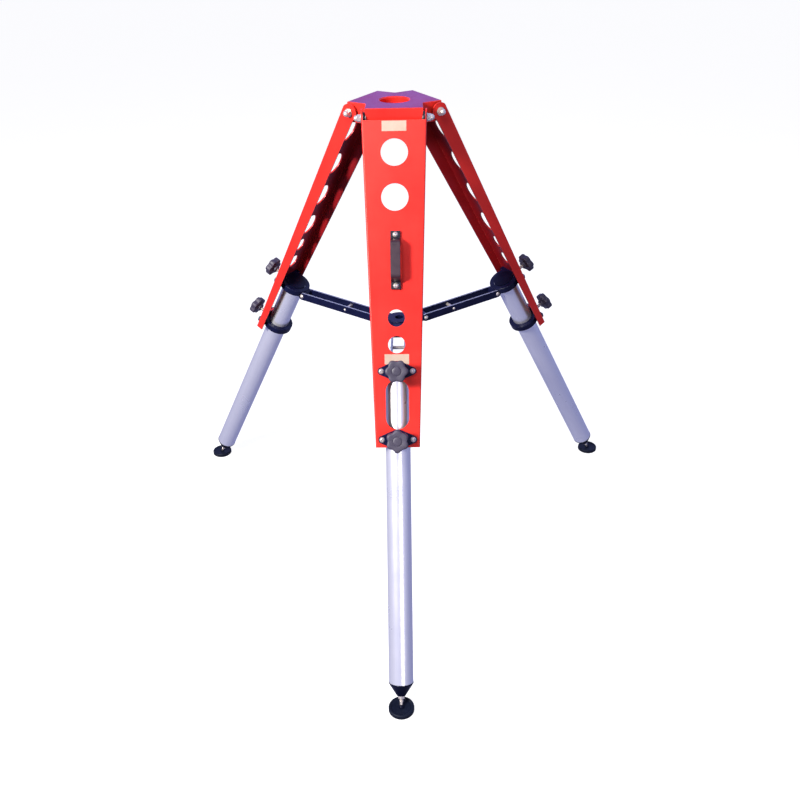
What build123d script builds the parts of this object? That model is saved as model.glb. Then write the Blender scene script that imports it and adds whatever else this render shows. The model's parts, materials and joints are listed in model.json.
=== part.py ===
from build123d import *
import os
from math import atan2, cos, degrees, hypot, radians, sin, sqrt

# Heavy instrument tripod: a three-lobed head, three folding sheet-metal legs with sliding tubes,
# a folding spreader and levelling feet. Millimetres. Z is up, the origin is on the floor under the
# head's axis, and the front leg points along -Y. The legs stand 120 degrees apart.

LEGS = {"front": 0, "right": 120, "left": 240}
LEG_ANGLE = 28.6  # lean of each leg from the vertical, opened out
EXPORT_FOLDER = "parts"

# Head
HEAD_TOP = 1080.0
HEAD_HEIGHT = 40.0
LUG_REACH = 77.0
LUG_WIDTH = 115.5
NOTCH_FILLET = 8.0
BORE_RADIUS = 30.0
BORE_CHAMFER = 2.5
HEAD_EDGE = 1.0
CORNER_CUT_START = 6.0  # below the top
CORNER_CUT = 6.0
CORNER_CUT_DEPTH = 10.0

# Leg hinges: on each side of each lug a shoulder stud with a washer and a domed cap nut
HINGE_REACH = 70.0
HINGE_HEIGHT = HEAD_TOP - HEAD_HEIGHT / 2
HINGE_BOLT_RADIUS = 6.0
HINGE_BOLT_DEPTH = 25.0
HINGE_HEAD_GAP = 0.6
CAP_WASHER_RADIUS = 8.5
CAP_WASHER = 1.6
CAP_NUT_FLATS = 13.0
CAP_NUT_HEX = 6.5
CAP_NUT_CORNER_SLOPE = 1.73
CAP_NUT_HEIGHT = 13.4
CAP_DOME_RADIUS = 6.2
HINGE_WASHER_RADIUS = 12.0
HINGE_WASHER_GAP = 0.6
RUNNING_FIT = 0.06
SOCKET_WIDTH = 0.42  # of a domed head's radius
SOCKET_DEPTH = 0.9  # of a domed head's height

# Channel of each upper leg. In a leg's own frame X is along the hinge pin, Y points in
# towards the tripod's axis, Z runs up along the leg, and the origin is on the hinge axis.
SHEET = 3.0
FOLD_RADIUS = 3.0  # outside each fold
FACE = -17.5  # the channel's outer face in Y
FACE_INSIDE = FACE + SHEET
CHANNEL_TOP = -9.0
CHANNEL_END = -653.0
WIDTH_TOP = 128.8
WIDTH_END = 88.0
FLANGE_TOP = 32.0
FLANGE_END = 17.0
EAR_RADIUS = -FACE
EAR_SHOULDER = (14.0, -10.5)  # where a flange's back edge meets its ear
BIG_HOLE_RADIUS = 27.0
BIG_HOLE_FIRST = -71.0
BIG_HOLE_PITCH = 87.5
SMALL_HOLE_RADIUS = 17.0
SMALL_HOLES = (-396.0, -448.5)
SLOT_LENGTH = 99.0
SLOT_WIDTH = 46.0
SLOT_CENTRE = -567.5

# Sliding tube with its plugs
TUBE_RADIUS = 25.0
TUBE_WALL = 3.0
TUBE_AXIS = 14.0  # the tube's axis in a leg's Y
TUBE_TOP = -494.0
TUBE_END = -1137.5
CAP_FLANGE = 3.0
CAP_RADIUS = 24.5
CAP_INSERT = 15.0
CONE_LENGTH = 28.0
CONE_END_RADIUS = 9.5
PLUG_LIP = 2.0
PLUG_LIP_RADIUS = 25.4
PLUG_INSERT = 30.0
NUT_FLATS = 13.0
NUT_HEIGHT = 6.5
NUT_FLANGE = 1.4
NUT_FLANGE_RADIUS = 8.9

# Clamps that hold the tube
UPPER_CLAMP = -501.0
LOWER_CLAMP = -637.0
RING_RADIUS = 36.0
RING_HEIGHT = 16.0
RING_BASE_WIDTH = 78.0
RING_BASE_DEPTH = 10.0
RING_EDGE = 1.2
PLATE_THICKNESS = 6.0
PLATE_RADIUS = 20.0
PLATE_END_RADIUS = 7.5
PLATE_EDGE = 0.8
CLAMP_SCREW_SPACING = 62.0
CLAMP_SCREW_RADIUS = 3.0
SCREW_HEAD_RADIUS = 5.5
SCREW_HEAD_HEIGHT = 3.6
CLAMP_SCREW_LENGTH = 17.0
STUD_RADIUS = 4.0
STUD_CLEARANCE = 0.5  # round the stud in the channel's face
STUD_TIP_GAP = 0.3
STUD_LENGTH = 46.0
KNOB_RADIUS = 23.0
KNOB_THICKNESS = 15.0
KNOB_LOBES = 6
KNOB_LOBE_RADIUS = 7.5
KNOB_CORE_RADIUS = 18.8
KNOB_CENTRE = FACE - 38.0
KNOB_BOSS_RADIUS = 9.5
KNOB_BOSS_HEIGHT = 6.0
KNOB_EDGE = 2.0
KNOB_TURN = {"upper": 0, "lower": 30}

# Spreader
ARM_PIVOT_Y = 50.5
ARM_PIVOT_Z = -505.0
HUB_PIVOT_REACH = 64.0
ARM_DROP = 3.46  # how far below the level an open arm points, degrees
BAR_HEIGHT = 18.0
BAR_THICKNESS = 4.0
BAR_SPREAD = 33.0  # over the outer faces of a pair of bars
TONGUE_WIDTH = 24.3
TONGUE_RADIUS = 10.0
PIN_RADIUS = 3.0
PIN_HEAD_RADIUS = 5.0
PIN_HEAD_HEIGHT = 2.6
TIE_REACH = 141.0  # the tie bolt that joins a pair of bars
TIE_BOLT_RADIUS = 2.0
TIE_SPACER_RADIUS = 4.0
TIE_HEAD_RADIUS = 3.2
TIE_HEAD_HEIGHT = 1.8
RELIEF = 0.6
HUB_RADIUS = 28.0
HUB_HEIGHT = 22.0
HUB_HOLE_RADIUS = 10.0
HUB_EDGE = 1.5
BUSH_RADIUS = 5.0

# Feet
PAD_RADIUS = 26.5
PAD_HEIGHT = 10.5
PAD_RIM = 4.0
PAD_LOW_EDGE = 1.5
PAD_TOP_EDGE = 2.0
PAD_DISH = ((20.5, 8.6), (9.0, 7.6))  # radius and height at the dish's outside and inside
BALL_RADIUS = 5.5
BALL_HEIGHT = 7.6
CUP_MOUTH = 1.2
NECK_RADIUS = 3.2
NECK_LENGTH = 11.0
FOOT_STUD_LENGTH = 62.0

# Carrying handle and labels on the front leg
HANDLE_CENTRE = -282.5
HANDLE_LENGTH = 114.0
HANDLE_WIDTH = 19.5
HANDLE_RISE = 26.0
HANDLE_STRAP = 6.0
HANDLE_SCREW_SPACING = 100.0
HANDLE_PAD = 13.0
HANDLE_RAMP = 10.0  # how far each end of the bridge leans in
HANDLE_EDGE = 1.2
HANDLE_OUTER_BEND = 8.0
HANDLE_INNER_BEND = 5.0
HANDLE_FOOT = 3.0  # wall of the bridge along the leg, low down
HANDLE_SHOULDER = 2.0  # and high up
LABEL_WIDTH = 48.5
LABEL_HEIGHT = 20.0
LABEL_THICKNESS = 0.5
LABEL_TRIM = 0.3
LABEL_CENTRES = (-20.5, -477.5)

LEG_PLANE = Plane(
    origin=(0, -HINGE_REACH, HINGE_HEIGHT),
    x_dir=(1, 0, 0),
    z_dir=(0, sin(radians(LEG_ANGLE)), cos(radians(LEG_ANGLE))),
)


def leg_point(y, z):
    """The reach from the tripod's axis and the height of a point in a leg's middle plane."""
    lean = radians(LEG_ANGLE)
    reach = HINGE_REACH - y * cos(lean) - z * sin(lean)
    return reach, HINGE_HEIGHT - y * sin(lean) + z * cos(lean)


def channel_width(z):
    """The channel's outside width at a place along the leg."""
    share = (z - CHANNEL_TOP) / (CHANNEL_END - CHANNEL_TOP)
    return WIDTH_TOP + (WIDTH_END - WIDTH_TOP) * share


def save(name, solids):
    """Writes one node, a single solid or a group of separate solids."""
    solids = solids if isinstance(solids, list) else [solids]
    export_step(Compound(children=solids, label=name), f"{EXPORT_FOLDER}/{name}.step")


def place(leg, solids):
    """Puts solids built in the leg frame onto the named leg."""
    return [Rot(0, 0, LEGS[leg]) * (LEG_PLANE.location * s) for s in solids]


def rod(radius, length, start, axis):
    """A cylinder from a start point along an axis."""
    return extrude(Plane(origin=start, z_dir=axis) * Circle(radius), length)


def domed_head(radius, height, seat, axis):
    """A button head: a spherical cap on a seat, facing along an axis."""
    ball = (radius**2 + height**2) / (2 * height)
    plane = Plane(origin=seat, z_dir=axis)
    cap = Pos(0, 0, height - ball) * Sphere(ball)
    keep = Pos(0, 0, height / 2) * Cylinder(radius, height)
    hexagon = RegularPolygon(radius * SOCKET_WIDTH, 6)
    socket = Pos(0, 0, height) * extrude(hexagon, height * SOCKET_DEPTH, both=True)
    return plane.location * (cap & keep) - plane.location * socket


def cap_nut(seat, axis):
    """A washer under a hexagon nut that is closed by a dome, facing along an axis."""
    washer = Pos(0, 0, CAP_WASHER / 2) * Cylinder(CAP_WASHER_RADIUS, CAP_WASHER)
    hexagon = extrude(RegularPolygon(CAP_NUT_FLATS / 2, 6, major_radius=False), CAP_NUT_HEX)
    flats = CAP_NUT_FLATS / 2
    corners = Cone(flats + CAP_NUT_CORNER_SLOPE * CAP_NUT_HEX, flats, CAP_NUT_HEX)
    hexagon = Pos(0, 0, CAP_WASHER) * (hexagon & Pos(0, 0, CAP_NUT_HEX / 2) * corners)
    dome_centre = CAP_WASHER + CAP_NUT_HEIGHT - CAP_DOME_RADIUS
    dome = Pos(0, 0, dome_centre) * Sphere(CAP_DOME_RADIUS)
    return Plane(origin=seat, z_dir=axis).location * (washer + hexagon + dome)


# ---------------------------------------------------------------- head


def head_block():
    """Three radial lugs around a plain bore. The lower outer corners of each lug are cut away."""
    block = None
    for turn in LEGS.values():
        lug = Rot(0, 0, turn) * Pos(0, -LUG_REACH / 2, 0) * Rectangle(LUG_WIDTH, LUG_REACH)
        block = lug if block is None else block + lug
    notch_reach = LUG_WIDTH / sqrt(3)
    inner = [v for v in block.vertices() if abs(hypot(v.X, v.Y) - notch_reach) < 1]
    block = fillet(inner, NOTCH_FILLET)
    solid = extrude(Pos(0, 0, HEAD_TOP - HEAD_HEIGHT) * block, HEAD_HEIGHT)
    solid = chamfer(solid.edges().filter_by(Plane.XY), HEAD_EDGE)
    solid -= Pos(0, 0, HEAD_TOP - HEAD_HEIGHT / 2) * Cylinder(BORE_RADIUS, HEAD_HEIGHT + 2)
    flare = Cone(BORE_RADIUS, BORE_RADIUS + BORE_CHAMFER, BORE_CHAMFER)
    solid -= Pos(0, 0, HEAD_TOP - BORE_CHAMFER / 2) * flare
    solid -= corner_cuts() + bolt_holes()
    return solid


def corner_cuts():
    """Slanted cuts that narrow the front of each lug towards its underside."""
    half = LUG_WIDTH / 2
    start = HEAD_TOP - CORNER_CUT_START
    end = HEAD_TOP - HEAD_HEIGHT
    plane = Plane.XZ.offset(LUG_REACH - CORNER_CUT_DEPTH)
    cuts = []
    for side in (-1, 1):
        points = [(side * half, start), (side * (half - CORNER_CUT), end), (side * half, end)]
        wedge = extrude(plane * make_face(Polyline(points, close=True)), CORNER_CUT_DEPTH)
        cuts += [Rot(0, 0, turn) * wedge for turn in LEGS.values()]
    return Compound(children=cuts)


def hinge_shanks(radius, depth):
    """Cylinders on the six hinge bolts, from the outside of each ear inward."""
    start = channel_width(0) / 2 + HINGE_HEAD_GAP
    shanks = []
    for turn in LEGS.values():
        for side in (-1, 1):
            seat = (side * start, -HINGE_REACH, HINGE_HEIGHT)
            length = start - LUG_WIDTH / 2 + depth
            shanks.append(Rot(0, 0, turn) * rod(radius, length, seat, (-side, 0, 0)))
    return shanks


def bolt_holes():
    return Compound(children=hinge_shanks(HINGE_BOLT_RADIUS, HINGE_BOLT_DEPTH))


def hinge_bolts():
    """Six shoulder studs with domed cap nuts. Each leg's ears turn on them."""
    seat = channel_width(0) / 2 + HINGE_HEAD_GAP
    bolts = []
    shanks = hinge_shanks(HINGE_BOLT_RADIUS, HINGE_BOLT_DEPTH)
    for turn in LEGS.values():
        for side in (-1, 1):
            centre = (side * seat, -HINGE_REACH, HINGE_HEIGHT)
            bolts.append(Rot(0, 0, turn) * cap_nut(centre, (side, 0, 0)) + shanks.pop(0))
    return bolts


def hinge_washers():
    """Six plain washers between the lugs' sides and the ears."""
    inside = channel_width(0) / 2 - SHEET
    thickness = inside - LUG_WIDTH / 2 - HINGE_WASHER_GAP
    washers = []
    for turn in LEGS.values():
        for side in (-1, 1):
            seat = (side * LUG_WIDTH / 2, -HINGE_REACH, HINGE_HEIGHT)
            ring = rod(HINGE_WASHER_RADIUS, thickness, seat, (side, 0, 0))
            ring -= rod(HINGE_BOLT_RADIUS, thickness, seat, (side, 0, 0))
            washers.append(Rot(0, 0, turn) * ring)
    return washers


# ---------------------------------------------------------------- upper leg


def channel(has_handle):
    """A folded sheet channel, tapered in width and in flange depth, with ears at the hinge."""
    length = CHANNEL_TOP - CHANNEL_END
    corners = [
        (-WIDTH_TOP / 2, CHANNEL_TOP),
        (WIDTH_TOP / 2, CHANNEL_TOP),
        (WIDTH_END / 2, CHANNEL_END),
        (-WIDTH_END / 2, CHANNEL_END),
    ]
    sheet_plane = Plane(origin=(0, FACE, 0), x_dir=(1, 0, 0), z_dir=(0, -1, 0))
    face = extrude(sheet_plane * make_face(Polyline(corners, close=True)), -SHEET)
    face -= face_openings(has_handle)
    taper = degrees(atan2((WIDTH_TOP - WIDTH_END) / 2, length))
    for side in (-1, 1):
        face += flange(side, taper)
    for side in (-1, 1):
        face -= fold_corner(side, taper)
    return face


def face_openings(has_handle):
    """The lightening holes, the viewing slot and the stud holes in a channel's face."""
    count = 2 if has_handle else 4
    holes = [(BIG_HOLE_RADIUS, BIG_HOLE_FIRST - i * BIG_HOLE_PITCH) for i in range(count)]
    holes += [(SMALL_HOLE_RADIUS, z) for z in SMALL_HOLES]
    holes += [(STUD_RADIUS + STUD_CLEARANCE, z) for z in (UPPER_CLAMP, LOWER_CLAMP)]
    cutters = [rod(radius, 4 * SHEET, (0, FACE - SHEET, z), (0, 1, 0)) for radius, z in holes]
    outline = SlotOverall(SLOT_LENGTH, SLOT_WIDTH, rotation=90)
    slot_plane = Plane(origin=(0, FACE + 2 * SHEET, SLOT_CENTRE), x_dir=(1, 0, 0), z_dir=(0, -1, 0))
    cutters.append(extrude(slot_plane * outline, 4 * SHEET))
    for z in (UPPER_CLAMP, LOWER_CLAMP):
        for side in (-1, 1):
            start = (side * CLAMP_SCREW_SPACING / 2, FACE - SHEET, z)
            cutters.append(rod(CLAMP_SCREW_RADIUS, 4 * SHEET, start, (0, 1, 0)))
    if has_handle:
        for end in (-1, 1):
            start = (0, FACE - SHEET, HANDLE_CENTRE + end * HANDLE_SCREW_SPACING / 2)
            cutters.append(rod(CLAMP_SCREW_RADIUS, 4 * SHEET, start, (0, 1, 0)))
    return Compound(children=cutters)


def flange(side, taper):
    """One side flange with its round hinge ear, in the plane that follows the taper."""
    points = [
        (FACE, 0),
        (FACE, CHANNEL_END),
        (FACE + FLANGE_END, CHANNEL_END),
        (FACE + FLANGE_TOP, EAR_SHOULDER[1]),
        (EAR_SHOULDER[0], 0),
    ]
    outline = make_face(Polyline(points, close=True)) + Circle(EAR_RADIUS)
    stand = Plane(origin=(0, 0, 0), x_dir=(0, 1, 0), z_dir=(1, 0, 0))
    sheet = extrude(stand * outline, SHEET)
    sheet = Pos(-SHEET if side > 0 else 0, 0, 0) * sheet
    sheet = Pos(side * channel_width(0) / 2, 0, 0) * Rot(0, side * taper, 0) * sheet
    hole_start = (side * (channel_width(0) / 2 - 2 * SHEET), 0, 0)
    return sheet - rod(HINGE_BOLT_RADIUS + RUNNING_FIT, 4 * SHEET, hole_start, (side, 0, 0))


def fold_corner(side, taper):
    """What a fold's outer radius takes off the sharp corner of face and flange."""
    square = FOLD_RADIUS + SHEET
    centre = square / 2 - FOLD_RADIUS
    section = Pos(side * centre, FACE - centre) * Rectangle(square, square)
    section -= Pos(-side * FOLD_RADIUS, FACE + FOLD_RADIUS) * Circle(FOLD_RADIUS)
    length = EAR_RADIUS - CHANNEL_END + SHEET
    strip = extrude(Pos(0, 0, CHANNEL_END - SHEET) * section, length)
    return Pos(side * channel_width(0) / 2, 0, 0) * Rot(0, side * taper, 0) * strip


def clamp_ring(z, has_tongue):
    """A guide ring on a flat base behind the face. The upper one carries the arm's tongue."""
    low = z - RING_HEIGHT / 2
    ring = rod(RING_RADIUS, RING_HEIGHT, (0, TUBE_AXIS, low), (0, 0, 1))
    ring = chamfer(ring.edges().filter_by(GeomType.CIRCLE), RING_EDGE)
    base_middle = FACE_INSIDE + RING_BASE_DEPTH / 2
    ring += Pos(0, base_middle, z) * Box(RING_BASE_WIDTH, RING_BASE_DEPTH, RING_HEIGHT)
    ring -= Pos(0, FACE_INSIDE - RING_RADIUS / 2, z) * Box(2 * RING_RADIUS, RING_RADIUS, 2 * RING_HEIGHT)
    if has_tongue:
        ring = ring - arm_relief() + tongue()
        pin_start = (-TONGUE_WIDTH / 2, ARM_PIVOT_Y, ARM_PIVOT_Z)
        ring -= rod(PIN_RADIUS + RUNNING_FIT, TONGUE_WIDTH, pin_start, (1, 0, 0))
    tube_start = (0, TUBE_AXIS, low - RING_HEIGHT / 2)
    ring -= rod(TUBE_RADIUS + RUNNING_FIT, 2 * RING_HEIGHT, tube_start, (0, 0, 1))
    ring -= rod(STUD_RADIUS + RUNNING_FIT, RING_RADIUS, (0, FACE - SHEET, z), (0, 1, 0))
    for side in (-1, 1):
        start = (side * CLAMP_SCREW_SPACING / 2, FACE, z)
        ring -= rod(CLAMP_SCREW_RADIUS, CLAMP_SCREW_LENGTH - PLATE_THICKNESS, start, (0, 1, 0))
    return ring


def tongue():
    """The tongue that an arm's bars straddle."""
    start = (-TONGUE_WIDTH / 2, ARM_PIVOT_Y, ARM_PIVOT_Z)
    root_depth = ARM_PIVOT_Y - TUBE_AXIS - TUBE_RADIUS
    root_height = 2 * TONGUE_RADIUS
    root = Box(TONGUE_WIDTH, root_depth, root_height)
    root = Pos(0, ARM_PIVOT_Y - root_depth / 2, ARM_PIVOT_Z) * root
    return root + rod(TONGUE_RADIUS, TONGUE_WIDTH, start, (1, 0, 0))


def arm_relief():
    """Room in the ring for the round ends of the arm's bars and the pivot bolt's heads."""
    width = BAR_SPREAD / 2 + PIN_HEAD_HEIGHT + RELIEF - TONGUE_WIDTH / 2
    cuts = []
    for side in (-1, 1):
        start = (side * TONGUE_WIDTH / 2, ARM_PIVOT_Y, ARM_PIVOT_Z)
        cuts.append(rod(BAR_HEIGHT / 2 + RELIEF, width, start, (side, 0, 0)))
    return Compound(children=cuts)


def plate_outline():
    """A lozenge flange: a round middle with two rounded screw ends."""
    ends = [Pos(side * CLAMP_SCREW_SPACING / 2, 0) * Circle(PLATE_END_RADIUS) for side in (-1, 1)]
    return make_hull((Circle(PLATE_RADIUS) + ends).edges())


def plate_plane(z):
    """A drawing plane on the channel's outer face, facing out."""
    return Plane(origin=(0, FACE, z), x_dir=(1, 0, 0), z_dir=(0, -1, 0))


def clamp_plate(z):
    plate = extrude(plate_plane(z) * plate_outline(), PLATE_THICKNESS)
    plate = chamfer(plate.faces().sort_by(Axis.Y)[0].edges(), PLATE_EDGE)
    plate -= rod(STUD_RADIUS + RUNNING_FIT, 2 * PLATE_THICKNESS, (0, FACE, z), (0, -1, 0))
    for side in (-1, 1):
        start = (side * CLAMP_SCREW_SPACING / 2, FACE, z)
        plate -= rod(CLAMP_SCREW_RADIUS, 2 * PLATE_THICKNESS, start, (0, -1, 0))
    return plate


def face_screw(x, z, stack, length):
    """A button-head screw on top of a stack of the given thickness on the face."""
    seat = (x, FACE - stack, z)
    head = domed_head(SCREW_HEAD_RADIUS, SCREW_HEAD_HEIGHT, seat, (0, -1, 0))
    return head + rod(CLAMP_SCREW_RADIUS, length, seat, (0, 1, 0))


def clamp_screws():
    screws = []
    for z in (UPPER_CLAMP, LOWER_CLAMP):
        for side in (-1, 1):
            x = side * CLAMP_SCREW_SPACING / 2
            screws.append(face_screw(x, z, PLATE_THICKNESS, CLAMP_SCREW_LENGTH))
    return screws


def clamp_stud(z):
    """The knob's screw. Its tip stops just short of the tube."""
    tip = TUBE_AXIS - TUBE_RADIUS - STUD_TIP_GAP
    return rod(STUD_RADIUS, STUD_LENGTH, (0, tip, z), (0, -1, 0))


def knob(z, turn):
    """A star knob with rounded lobes and a boss, bored for its screw."""
    lobe_reach = KNOB_RADIUS - KNOB_LOBE_RADIUS
    outline = Circle(KNOB_CORE_RADIUS)
    for i in range(KNOB_LOBES):
        outline += Rot(0, 0, turn + i * 360 / KNOB_LOBES) * Pos(lobe_reach, 0) * Circle(KNOB_LOBE_RADIUS)
    star = extrude(outline, KNOB_THICKNESS)
    flat_edges = star.faces().sort_by(Axis.Z)[0].edges() + star.faces().sort_by(Axis.Z)[-1].edges()
    star = chamfer(flat_edges, KNOB_EDGE)
    star += Pos(0, 0, -KNOB_BOSS_HEIGHT / 2) * Cylinder(KNOB_BOSS_RADIUS, KNOB_BOSS_HEIGHT)
    inner_face = KNOB_CENTRE + KNOB_THICKNESS / 2
    star = Plane(origin=(0, inner_face, z), x_dir=(1, 0, 0), z_dir=(0, -1, 0)).location * star
    stud_end = TUBE_AXIS - TUBE_RADIUS - STUD_TIP_GAP - STUD_LENGTH
    depth = inner_face + KNOB_BOSS_HEIGHT - stud_end + RUNNING_FIT
    return star - rod(STUD_RADIUS + RUNNING_FIT, depth, (0, inner_face + KNOB_BOSS_HEIGHT, z), (0, -1, 0))


# ---------------------------------------------------------------- tube and foot


def tube():
    body = rod(TUBE_RADIUS, TUBE_TOP - TUBE_END, (0, TUBE_AXIS, TUBE_END), (0, 0, 1))
    inside = rod(TUBE_RADIUS - TUBE_WALL, TUBE_TOP - TUBE_END, (0, TUBE_AXIS, TUBE_END), (0, 0, 1))
    return body - inside


def tube_cap():
    """A flanged plug that closes the tube's upper end."""
    cap = rod(CAP_RADIUS, CAP_FLANGE, (0, TUBE_AXIS, TUBE_TOP), (0, 0, 1))
    return cap + rod(TUBE_RADIUS - TUBE_WALL, CAP_INSERT, (0, TUBE_AXIS, TUBE_TOP), (0, 0, -1))


def end_plug():
    """A lip under the tube and a cone that narrows to the lock nut, bored for the foot's screw."""
    taper = CONE_LENGTH - PLUG_LIP
    cone = Pos(0, TUBE_AXIS, TUBE_END - PLUG_LIP - taper / 2) * Cone(CONE_END_RADIUS, PLUG_LIP_RADIUS, taper)
    plug = cone + rod(PLUG_LIP_RADIUS, PLUG_LIP, (0, TUBE_AXIS, TUBE_END), (0, 0, -1))
    plug += rod(TUBE_RADIUS - TUBE_WALL, PLUG_INSERT, (0, TUBE_AXIS, TUBE_END), (0, 0, 1))
    low = (0, TUBE_AXIS, TUBE_END - CONE_LENGTH)
    return plug - rod(STUD_RADIUS + RUNNING_FIT, CONE_LENGTH + PLUG_INSERT, low, (0, 0, 1))


def lock_nut():
    """A hexagon nut with a round flange against the cone's end."""
    top = TUBE_END - CONE_LENGTH
    nut = extrude(RegularPolygon(NUT_FLATS / 2, 6, major_radius=False), NUT_HEIGHT)
    nut += Pos(0, 0, NUT_HEIGHT - NUT_FLANGE / 2) * Cylinder(NUT_FLANGE_RADIUS, NUT_FLANGE)
    nut -= Cylinder(STUD_RADIUS + RUNNING_FIT, 4 * NUT_HEIGHT)
    return Pos(0, TUBE_AXIS, top - NUT_HEIGHT) * nut


def ball_place():
    """Where the foot's ball sits along the leg, so that the pad lies on the floor."""
    lean = radians(LEG_ANGLE)
    return (BALL_HEIGHT - HINGE_HEIGHT + TUBE_AXIS * sin(lean)) / cos(lean)


def foot_stud():
    """A screw with a ball at its lower end and a narrow neck above the ball."""
    low = ball_place()
    ball = Pos(0, TUBE_AXIS, low) * Sphere(BALL_RADIUS)
    neck = rod(NECK_RADIUS, NECK_LENGTH, (0, TUBE_AXIS, low), (0, 0, 1))
    shank = rod(STUD_RADIUS, FOOT_STUD_LENGTH - NECK_LENGTH, (0, TUBE_AXIS, low + NECK_LENGTH), (0, 0, 1))
    return ball + neck + shank


def foot_pad():
    """A round pad with a dished top and a cup for the ball, built on the front leg's spot."""
    reach, _ = leg_point(TUBE_AXIS, ball_place())
    profile = [
        (0, 0),
        (PAD_RADIUS - PAD_LOW_EDGE, 0),
        (PAD_RADIUS, PAD_LOW_EDGE),
        (PAD_RADIUS, PAD_HEIGHT - PAD_TOP_EDGE),
        (PAD_RADIUS - PAD_TOP_EDGE, PAD_HEIGHT),
        (PAD_RADIUS - PAD_RIM, PAD_HEIGHT),
        *PAD_DISH,
        (0, PAD_DISH[-1][1]),
    ]
    pad = revolve(Plane.XZ * make_face(Polyline(profile, close=True)), Axis.Z)
    cup = BALL_RADIUS + RUNNING_FIT
    pad -= Pos(0, 0, BALL_HEIGHT) * Sphere(cup)
    pad -= Pos(0, 0, BALL_HEIGHT) * Cone(cup - CUP_MOUTH, cup + CUP_MOUTH, 2 * CUP_MOUTH)
    return Pos(0, -reach, 0) * pad


# ---------------------------------------------------------------- spreader


def arm_plane():
    """The front arm's frame, from its outer pivot. X is along the pin and Y along the arm."""
    reach, height = leg_point(ARM_PIVOT_Y, ARM_PIVOT_Z)
    drop = radians(ARM_DROP)
    return Plane(origin=(0, -reach, height), x_dir=(1, 0, 0), z_dir=(0, sin(drop), cos(drop)))


def arm_length():
    reach, _ = leg_point(ARM_PIVOT_Y, ARM_PIVOT_Z)
    return (reach - HUB_PIVOT_REACH) / cos(radians(ARM_DROP))


def hub_pivot_height():
    reach, height = leg_point(ARM_PIVOT_Y, ARM_PIVOT_Z)
    return height - (reach - HUB_PIVOT_REACH) * sin(radians(ARM_DROP)) / cos(radians(ARM_DROP))


def tie_place():
    """How far along the arm, from the outer pivot, the tie bolt sits."""
    reach, _ = leg_point(ARM_PIVOT_Y, ARM_PIVOT_Z)
    return (reach - TIE_REACH) / cos(radians(ARM_DROP))


def arm_bars():
    """A pair of flat bars with round ends, pierced for the pivots and the tie bolt."""
    length = arm_length()
    side_plane = Plane(origin=(0, 0, 0), x_dir=(0, 1, 0), z_dir=(1, 0, 0))
    outline = Pos(length / 2, 0) * SlotCenterToCenter(length, BAR_HEIGHT)
    for place_along in (0, length):
        outline -= Pos(place_along, 0) * Circle(PIN_RADIUS)
    outline -= Pos(tie_place(), 0) * Circle(TIE_BOLT_RADIUS)
    bars = []
    for start in (-BAR_SPREAD / 2, BAR_SPREAD / 2 - BAR_THICKNESS):
        bar = extrude(side_plane * outline, BAR_THICKNESS)
        bars.append(arm_plane().location * Pos(start, 0, 0) * bar)
    return bars


def arm_bolts():
    """The outer pivot bolt, the tie bolt with its spacer, and two short inner pivot screws."""
    half = BAR_SPREAD / 2
    length = arm_length()
    tie = tie_place()
    pivot = rod(PIN_RADIUS, BAR_SPREAD, (-half, 0, 0), (1, 0, 0))
    spacer = rod(TIE_SPACER_RADIUS, BAR_SPREAD - 2 * BAR_THICKNESS, (BAR_THICKNESS - half, tie, 0), (1, 0, 0))
    tie_bolt = spacer + rod(TIE_BOLT_RADIUS, BAR_SPREAD, (-half, tie, 0), (1, 0, 0))
    bolts = []
    for side in (-1, 1):
        pivot += domed_head(PIN_HEAD_RADIUS, PIN_HEAD_HEIGHT, (side * half, 0, 0), (side, 0, 0))
        tie_bolt += domed_head(TIE_HEAD_RADIUS, TIE_HEAD_HEIGHT, (side * half, tie, 0), (side, 0, 0))
        screw = domed_head(PIN_HEAD_RADIUS, PIN_HEAD_HEIGHT, (side * half, length, 0), (side, 0, 0))
        screw += rod(PIN_RADIUS, BAR_THICKNESS, (side * half, length, 0), (-side, 0, 0))
        bolts.append(screw)
    return [arm_plane().location * bolt for bolt in [pivot, tie_bolt, *bolts]]


def spreader_hub():
    """A round boss with three radial tongues. The arms' inner ends pass beside the tongues."""
    height = hub_pivot_height()
    hub = Pos(0, 0, height) * Cylinder(HUB_RADIUS, HUB_HEIGHT)
    hub = chamfer(hub.edges().filter_by(GeomType.CIRCLE), HUB_EDGE)
    for turn in LEGS.values():
        arm = Pos(0, -HUB_PIVOT_REACH / 2, height) * Box(TONGUE_WIDTH, HUB_PIVOT_REACH, BAR_HEIGHT)
        start = (-TONGUE_WIDTH / 2, -HUB_PIVOT_REACH, height)
        arm += rod(BAR_HEIGHT / 2, TONGUE_WIDTH, start, (1, 0, 0))
        arm -= rod(BUSH_RADIUS, TONGUE_WIDTH, start, (1, 0, 0))
        hub += Rot(0, 0, turn) * arm
    return hub - Pos(0, 0, height) * Cylinder(HUB_HOLE_RADIUS, 2 * HUB_HEIGHT)


def hub_bushes():
    """Three plain bushes pressed into the hub's tongues."""
    height = hub_pivot_height()
    bushes = []
    for turn in LEGS.values():
        start = (-TONGUE_WIDTH / 2, -HUB_PIVOT_REACH, height)
        bush = rod(BUSH_RADIUS, TONGUE_WIDTH, start, (1, 0, 0))
        bush -= rod(PIN_RADIUS + RUNNING_FIT, TONGUE_WIDTH, start, (1, 0, 0))
        bushes.append(Rot(0, 0, turn) * bush)
    return bushes


# ---------------------------------------------------------------- front leg's trim


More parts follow.
